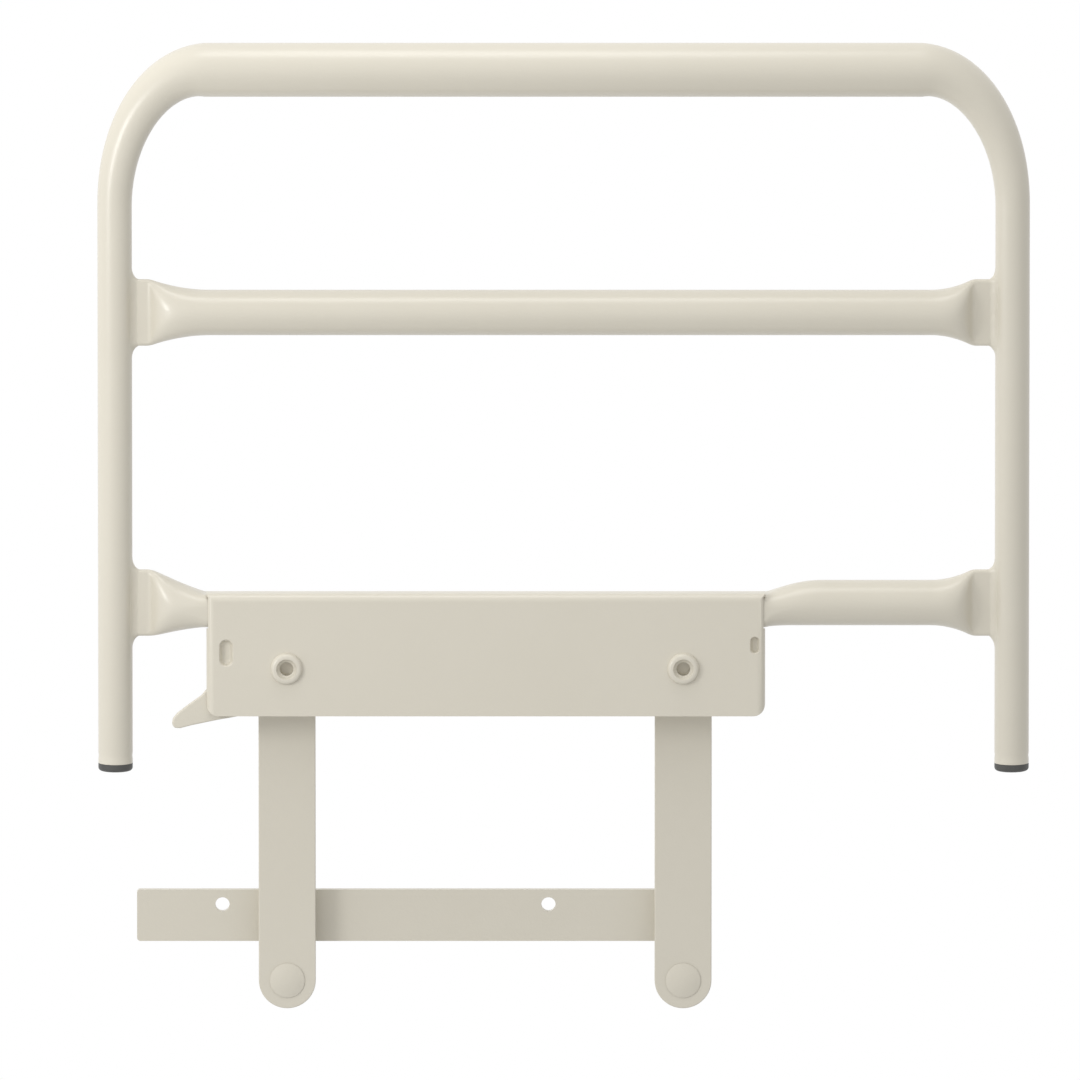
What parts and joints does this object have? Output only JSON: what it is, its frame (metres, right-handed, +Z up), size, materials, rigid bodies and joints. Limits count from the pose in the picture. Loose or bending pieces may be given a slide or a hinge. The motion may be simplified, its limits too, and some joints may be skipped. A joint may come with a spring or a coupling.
{
  "type": "folding bed guard rail",
  "caption": "Coated steel tube hoop with cross rails that swings down beside a bed on parallel links from a bolted bar, with a sheet housing, a hand latch and capped tube ends.",
  "frame": {"origin": "centre of the bar's bed face, midway between its two bolt holes", "axes": "+Z up, +Y towards the bed that the bar is bolted to, +X to the right as seen from the front"},
  "size_m": [0.5866, 0.0592, 0.6188],
  "materials": {
    "coated_steel": "cream powder coat, semi-gloss",
    "zinc_steel": "bright zinc plate",
    "spring_steel": "drawn spring wire",
    "bush_plastic": "natural nylon",
    "black_plastic": "satin black moulding"
  },
  "bodies": {
    "base": {"base_bar": "coated_steel", "base_lug_left": "coated_steel", "base_lug_right": "coated_steel", "lower_spacer_left": "zinc_steel", "lower_spacer_right": "zinc_steel", "lower_pivot_pin_left": "coated_steel", "lower_pivot_pin_right": "coated_steel"},
    "link_left": {"link_left": "coated_steel", "lower_bush_left": "bush_plastic", "upper_bush_left": "bush_plastic"},
    "link_right": {"link_right": "coated_steel", "lower_bush_right": "bush_plastic", "upper_bush_right": "bush_plastic"},
    "guard_frame": {"hoop_tube": "coated_steel", "mid_rail": "coated_steel", "lower_rail": "coated_steel", "latch_housing": "coated_steel", "leg_plug_left": "black_plastic", "leg_plug_right": "black_plastic", "pivot_boss_left": "coated_steel", "pivot_boss_right": "coated_steel", "upper_pivot_pin_left": "coated_steel", "upper_pivot_pin_right": "coated_steel", "pivot_washer_left": "zinc_steel", "pivot_washer_right": "zinc_steel", "lock_nut_left": "zinc_steel", "lock_nut_right": "zinc_steel", "fold_stop_left": "coated_steel", "fold_stop_right": "coated_steel", "latch_pivot_pin": "zinc_steel", "latch_spring": "spring_steel", "spring_anchor": "zinc_steel"},
    "latch": {"latch_handle": "coated_steel", "latch_hub": "zinc_steel", "latch_pawl": "zinc_steel"}
  },
  "joints": [
    {"name": "left_link_swing", "type": "hinge", "parent": "base", "child": "link_left", "pos_m": [-0.062, -0.0185, -0.039], "axis": [0, -1, 0], "range_deg": [0, 160]},
    {"name": "right_link_swing", "type": "hinge", "parent": "base", "child": "link_right", "pos_m": [0.188, -0.0185, -0.039], "axis": [0, -1, 0], "range_deg": [0, 160]},
    {"name": "rail_level", "type": "hinge", "parent": "link_left", "child": "guard_frame", "pos_m": [-0.062, -0.0185, 0.166], "axis": [0, -1, 0], "range_deg": [-160, 0]},
    {"name": "latch_lift", "type": "hinge", "parent": "guard_frame", "child": "latch", "pos_m": [-0.1, -0.0345, 0.176], "axis": [0, 1, 0], "range_deg": [0, 18], "stiffness_Nm_per_rad": 0.6, "springref_deg": -14.32, "deforming": ["latch_spring"]}
  ],
  "couplings": [
    {"joint": "right_link_swing", "follows": "left_link_swing", "ratio": 1},
    {"joint": "rail_level", "follows": "left_link_swing", "ratio": -1}
  ]
}
